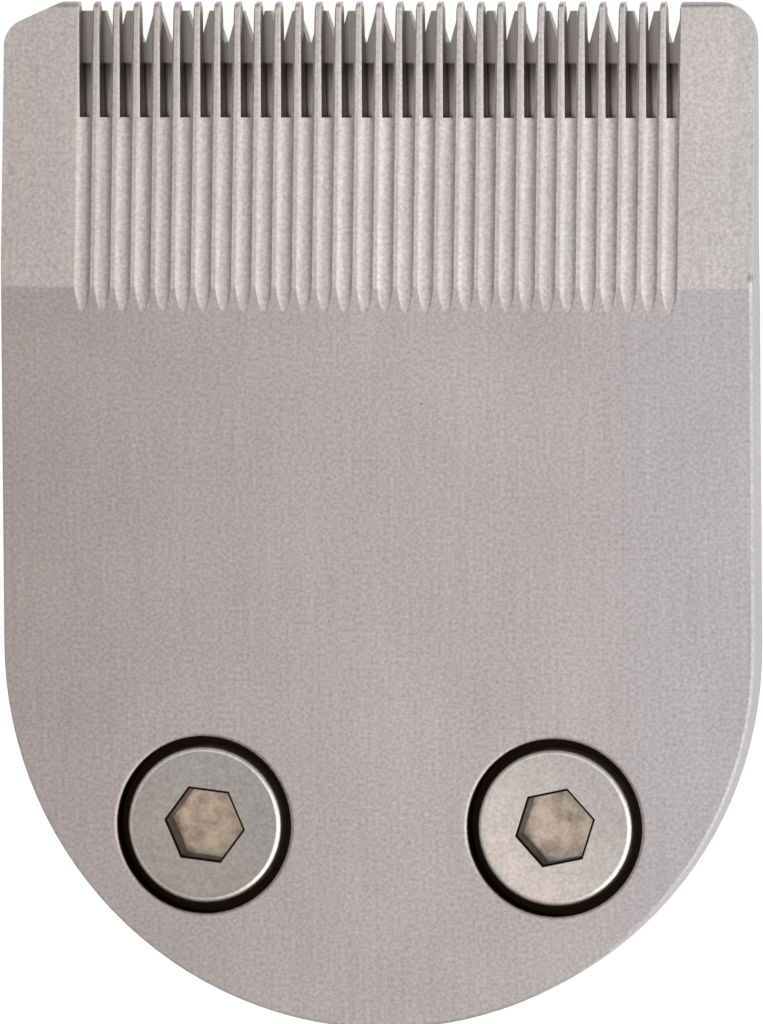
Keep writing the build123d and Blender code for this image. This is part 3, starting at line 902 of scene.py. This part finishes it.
@dataclass
class SocketScrew:
    """Low-head socket screw with a dished, turned head and a rolled thread."""

    side: Side
    turn: float
    plating: Plating
    head_radius: float = 3.5
    head_height: float = 1.25
    edge_round: float = 0.25
    edge_margin: float = 0.0625
    dish_radius: float = 2.3
    dish_depth: float = 0.03
    socket_flats: float = 3.0
    socket_start: float = 30.0
    socket_depth: float = 1.6
    flats_to_cone: float = 2.1
    cone_depth: float = 0.3
    socket_break: float = 0.12
    shank_length: float = 0.9
    thread_radius: float = 2.0
    thread_depth: float = 0.38
    thread_pitch: float = 0.7
    thread_sink: float = 0.03
    root_share: float = 0.45
    crest_share: float = 0.08
    end_chamfer: float = 0.5
    segments: int = 96
    round_steps: int = 8
    thread_steps: int = 36
    sharp_angle: float = 15.0

    def build(self) -> None:
        """Models the screw on its CAD node's axis and dresses it."""
        node = f"screw_{self.side.value}"
        low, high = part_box(node)
        length = (high.z - low.z) / MM
        axis = Vector(((low.x + high.x) / 2, (low.y + high.y) / 2, high.z))
        shape = bmesh.new()
        self._turn_body(shape, length)
        self._roll_thread(shape, length)
        screw = modelled(shape, f"socket_screw_{self.side.value}", axis, self.sharp_angle)
        steel = self.plating.value.material(axis, self.socket_depth, self.head_radius)
        put_in(screw, node, Body.COMB, steel)

    def _turn_body(self, shape: BMesh, length: float) -> None:
        """Draws the head and core outwards and the socket inwards from the socket's mouth, the top at Z = 0.

        Args:
            shape: Mesh that gets the surface.
            length: Length of the whole screw.
        """
        rim = -self.dish_depth
        turned = Matrix.Rotation(math.radians(self.turn + self.socket_start), 4, "Z")
        bmesh.ops.create_circle(
            shape,
            cap_ends=False,
            radius=self.socket_flats / math.sqrt(3),
            segments=HEXAGON,
            matrix=Matrix.Translation((0, 0, rim)) @ turned,
        )
        bmesh.ops.subdivide_edges(shape, edges=shape.edges[:], cuts=self.segments // HEXAGON - 1)
        mouth = shape.edges[:]
        core = self.thread_radius - self.thread_depth
        shank_end = -self.head_height - self.shank_length
        turns = [math.radians(90 * step / self.round_steps) for step in range(self.round_steps + 1)]
        flat = self.head_radius - self.edge_round
        outside = (
            (self.dish_radius, rim),
            (flat - self.edge_margin, 0.0),
            *((flat + self.edge_round * math.sin(a), self.edge_round * (math.cos(a) - 1)) for a in turns),
            (self.head_radius, -self.head_height),
            (self.thread_radius, -self.head_height),
            (self.thread_radius, shank_end + self.thread_depth),
            (core, shank_end),
            (core, self.end_chamfer - length),
            (self.thread_radius - self.end_chamfer, -length),
            (0.0, -length),
        )
        floor = rim - self.socket_depth
        cone_radius = self.socket_flats / self.flats_to_cone
        socket = ((None, floor), (cone_radius, floor), (0.0, floor - self.cone_depth))
        for profile in (outside, socket):
            turn_profile(shape, mouth, profile)
        bmesh.ops.remove_doubles(shape, verts=shape.verts, dist=MERGE)
        break_edges(shape, [edge for edge in mouth if edge.is_valid], self.socket_break)

    def _roll_thread(self, shape: BMesh, length: float) -> None:
        """Winds the thread's ridge round the core as a closed body of its own.

        Args:
            shape: Mesh with the core.
            length: Length of the whole screw.
        """
        root = self.thread_radius - self.thread_depth - self.thread_sink
        half = self.thread_pitch * self.root_share
        crest = self.thread_pitch * self.crest_share
        start = self.end_chamfer - length + half
        threaded = length - self.head_height - self.shank_length - self.end_chamfer
        turns = int((threaded - half * 2) / self.thread_pitch)
        corners = ((root, -half), (self.thread_radius, -crest), (self.thread_radius, crest), (root, half))
        section = shape.faces.new([shape.verts.new((radius, 0.0, start + z)) for radius, z in corners])
        bmesh.ops.spin(
            shape,
            geom=[section, *section.edges, *section.verts],
            cent=(0, 0, 0),
            axis=(0, 0, 1),
            dvec=(0, 0, self.thread_pitch / self.thread_steps),
            angle=math.tau * turns,
            steps=self.thread_steps * turns,
        )
        open_ends = [edge for edge in shape.edges if edge.is_boundary]
        bmesh.ops.holes_fill(shape, edges=open_ends, sides=len(corners))


@dataclass
class KnurledInsert:
    """Brass insert with a straight knurl that the moulding grips."""

    side: Side
    bore_radius: float = 2.0
    knurl_depth: float = 0.12
    ridges: int = 36
    groove_width: float = 0.8
    groove_depth: float = 0.3
    chamfer: float = 0.3

    def build(self) -> None:
        """Models the insert on its CAD node's axis and dresses it."""
        node = f"insert_{self.side.value}"
        low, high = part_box(node)
        axis = Vector(((low.x + high.x) / 2, (low.y + high.y) / 2, low.z))
        shape = bmesh.new()
        self._turn_body(shape, (high.x - low.x) / 2 / MM, (high.z - low.z) / MM)
        insert = modelled(shape, f"knurled_insert_{self.side.value}", axis)
        put_in(insert, node, Body.COMB, Stock.BRASS.value.material())

    def _turn_body(self, shape: BMesh, outer: float, length: float) -> None:
        """Draws the sleeve from its bore's lower edge outwards and round to its upper edge, and knurls it.

        Args:
            shape: Mesh that gets the sleeve.
            outer: Radius over the knurl.
            length: Length of the sleeve.
        """
        bmesh.ops.create_circle(shape, cap_ends=False, radius=self.bore_radius, segments=2 * self.ridges)
        bore = shape.edges[:]
        inner = outer - self.groove_depth
        lower, upper = ((length + side * self.groove_width) / 2 for side in (-1, 1))
        profile = (
            (outer - self.chamfer, 0.0),
            (outer, self.chamfer),
            (outer, lower),
            (inner, lower),
            (inner, upper),
            (outer, upper),
            (outer, length - self.chamfer),
            (outer - self.chamfer, length),
            (self.bore_radius, length),
        )
        bmesh.ops.bridge_loops(shape, edges=turn_profile(shape, bore, profile) + bore)
        # Every second line of points on the outside is a valley of the knurl
        for vert in shape.verts:
            line = round(math.atan2(vert.co.y, vert.co.x) / math.tau * 2 * self.ridges)
            if line % 2 and vert.co.xy.length > outer - self.knurl_depth / 2:
                vert.co.xy = vert.co.xy.normalized() * (outer - self.knurl_depth)


@dataclass
class Carrier:
    """Moulded carrier behind the comb, with the wire spring bent over its bars."""

    rounding: float = 0.12
    wire_radius: float = 0.35
    bend_radius: float = 1.0
    arm_x: float = 4.4
    foot_y: float = 12.33
    knee_y: float = 10.33
    bar_y: float = 0.93
    yoke_y: float = -6.27
    foot_z: float = 2.88
    yoke_z: float = 2.18
    wire_sides: int = 24
    bend_steps: int = 10

    def build(self) -> None:
        """Copies the moulding, bends the spring and dresses both."""
        moulding = packed_copy("blade_carrier", "carrier_moulding", whole_faces=True)
        round_edges(moulding, self.rounding)
        put_in(moulding, "blade_carrier", Body.COMB, Stock.NYLON.value.material())
        spring = self._bend_spring()
        put_in(spring, "pressure_spring", Body.COMB, Stock.WIRE.value.material())

    def _bend_spring(self) -> Object:
        """Bends one wire from its right foot round the yoke to its left foot.

        Returns:
            The spring's object.
        """
        half = [
            Vector((self.arm_x, self.foot_y, self.foot_z)),
            Vector((self.arm_x, self.knee_y, self.foot_z)),
            Vector((self.arm_x, self.bar_y, self.yoke_z)),
            Vector((self.arm_x, self.yoke_y, self.yoke_z)),
        ]
        corners = half + [Vector((-corner.x, corner.y, corner.z)) for corner in reversed(half)]
        shape = bmesh.new()
        spot = corners[0]
        heading = (corners[1] - spot).normalized()
        facing = heading.to_track_quat("Z", "Y").to_matrix().to_4x4()
        bmesh.ops.create_circle(
            shape,
            cap_ends=False,
            radius=self.wire_radius,
            segments=self.wire_sides,
            matrix=Matrix.Translation(spot) @ facing,
        )
        ring = shape.edges[:]
        for corner, beyond in zip(corners[1:], corners[2:]):
            onward = (beyond - corner).normalized()
            angle = heading.angle(onward)
            setback = self.bend_radius * math.tan(angle / 2)
            verts, ring = extrude_ring(shape, ring)
            bmesh.ops.translate(shape, vec=corner - heading * setback - spot, verts=verts)
            hinge = heading.cross(onward).normalized()
            bent = bmesh.ops.spin(
                shape,
                geom=ring + list({vert for edge in ring for vert in edge.verts}),
                cent=corner - heading * setback + hinge.cross(heading) * self.bend_radius,
                axis=hinge,
                angle=angle,
                steps=max(2, round(self.bend_steps * angle)),
            )["geom_last"]
            ring = [item for item in bent if isinstance(item, BMEdge)]
            spot = corner + onward * setback
            heading = onward
        verts, _ = extrude_ring(shape, ring)
        bmesh.ops.translate(shape, vec=corners[-1] - spot, verts=verts)
        open_ends = [edge for edge in shape.edges if edge.is_boundary]
        ends = bmesh.ops.holes_fill(shape, edges=open_ends, sides=0)["faces"]
        bmesh.ops.recalc_face_normals(shape, faces=shape.faces)
        break_edges(shape, [edge for face in ends for edge in face.edges], self.wire_radius / 4)
        return modelled(shape, "spring_wire", Vector())


@dataclass(frozen=True)
class Softbox:
    """A soft rectangular lamp: the place of its middle, its size, and the level of its face, where 1 is white."""

    name: str
    spot: Triple
    size: tuple[float, float]
    level: float

    def hang(self) -> None:
        """Hangs the lamp so that it faces the blade."""
        lamp = bpy.data.lights.new(self.name, "AREA")
        lamp.shape = "RECTANGLE"
        lamp.size, lamp.size_y = (length * MM for length in self.size)
        lamp.energy = self.level * math.pi * lamp.size * lamp.size_y
        holder = bpy.data.objects.new(self.name, lamp)
        holder.location = Vector(self.spot) * MM
        holder.rotation_euler = (-Vector(self.spot)).to_track_quat("-Z", "Y").to_euler()
        bpy.context.scene.collection.objects.link(holder)


@dataclass
class Studio:
    """Pale floor, soft lamps and the camera at the photograph's angle."""

    look_at: Triple = (0.234, 0.224, 8.0)
    tilt_right: float = 11.5
    tilt_up: float = 4.0
    roll: float = -0.45
    distance: float = 800.0
    pixels_per_mm: float = 22.589
    sensor: float = 36.0
    clip: tuple[float, float] = (10.0, 10000.0)
    floor_hex: str = "#9C9C9C"
    floor_size: float = 3000.0
    floor_roughness: float = 0.9
    floor_glow: float = 0.84
    world_level: float = 0.42
    lamps: tuple[Softbox, ...] = (
        Softbox("overhead_softbox", (-60.0, 40.0, 600.0), (600.0, 600.0), 0.67),
        Softbox("right_softbox", (365.0, -190.0, 330.0), (760.0, 860.0), 1.5),
    )

    def build(self) -> None:
        """Sets the stage."""
        bpy.context.scene.view_settings.view_transform = "Standard"
        self._lay_floor()
        self._surround()
        for lamp in self.lamps:
            lamp.hang()
        self._aim_camera()

    def _lay_floor(self) -> None:
        """Lays a pale floor that is white to the eye and keeps the blade's shadow."""
        shape = bmesh.new()
        bmesh.ops.create_grid(shape, x_segments=1, y_segments=1, size=self.floor_size * MM / 2)
        floor = finished(shape, "floor")
        material, tree = new_material("pale_floor")
        path = add_node(tree, "LightPath")
        seen = path.outputs["Is Camera Ray"]
        for ray in ("Is Glossy Ray", "Is Transmission Ray"):
            seen = add_node(tree, "Math", {0: seen, 1: path.outputs[ray]}, operation="ADD")
        glow = add_node(tree, "Math", {0: seen, 1: self.floor_glow}, operation="MULTIPLY")
        shader = add_node(
            tree,
            "BsdfPrincipled",
            {
                "Base Color": linear(self.floor_hex),
                "Roughness": self.floor_roughness,
                "Specular IOR Level": 0.0,
                "Emission Color": (1.0, 1.0, 1.0, 1.0),
                "Emission Strength": glow,
            },
        )
        add_node(tree, "OutputMaterial", {"Surface": shader})
        floor.data.materials.append(material)

    def _surround(self) -> None:
        """Gives an even grey surround that the camera sees as white."""
        world = bpy.data.worlds.new("studio")
        world.use_nodes = True
        tree = world.node_tree
        tree.nodes.clear()
        seen = add_node(tree, "LightPath").outputs["Is Camera Ray"]
        level = add_node(tree, "MapRange", {0: seen, 3: self.world_level, 4: 1.0})
        sky = add_node(tree, "Background", {"Color": (1.0, 1.0, 1.0, 1.0), "Strength": level})
        add_node(tree, "OutputWorld", {"Surface": sky})
        bpy.context.scene.world = world

    def _aim_camera(self) -> None:
        """Places the camera above the comb, a little to the right and towards the tips."""
        lean = [math.tan(math.radians(tilt)) for tilt in (self.tilt_right, self.tilt_up)]
        toward = Vector((*lean, 1.0)).normalized()
        right = Vector((0, 1, 0)).cross(toward).normalized()
        up = toward.cross(right)
        roll = Matrix.Rotation(math.radians(self.roll), 4, "Z")
        turn = Matrix((right, up, toward)).transposed().to_4x4() @ roll
        data = bpy.data.cameras.new("photo_camera")
        data.sensor_width = self.sensor
        data.lens = self.sensor * self.distance * self.pixels_per_mm / max(PHOTO_SIZE)
        data.clip_start, data.clip_end = (limit * MM for limit in self.clip)
        camera = bpy.data.objects.new("photo_camera", data)
        camera.matrix_world = Matrix.Translation((Vector(self.look_at) + toward * self.distance) * MM) @ turn
        bpy.context.scene.collection.objects.link(camera)
        bpy.context.scene.camera = camera


def main() -> None:
    """Builds the sub-assemblies in order and sets the stage."""
    logging.basicConfig(level=logging.INFO, format="%(message)s")
    for assembly in (
        Comb(),
        CutterSlide(),
        SocketScrew(Side.LEFT, -7.0, Plating.GREY),
        SocketScrew(Side.RIGHT, 12.0, Plating.PALE),
        KnurledInsert(Side.LEFT),
        KnurledInsert(Side.RIGHT),
        Carrier(),
        Studio(),
    ):
        assembly.build()


if __name__ == "__main__":
    main()
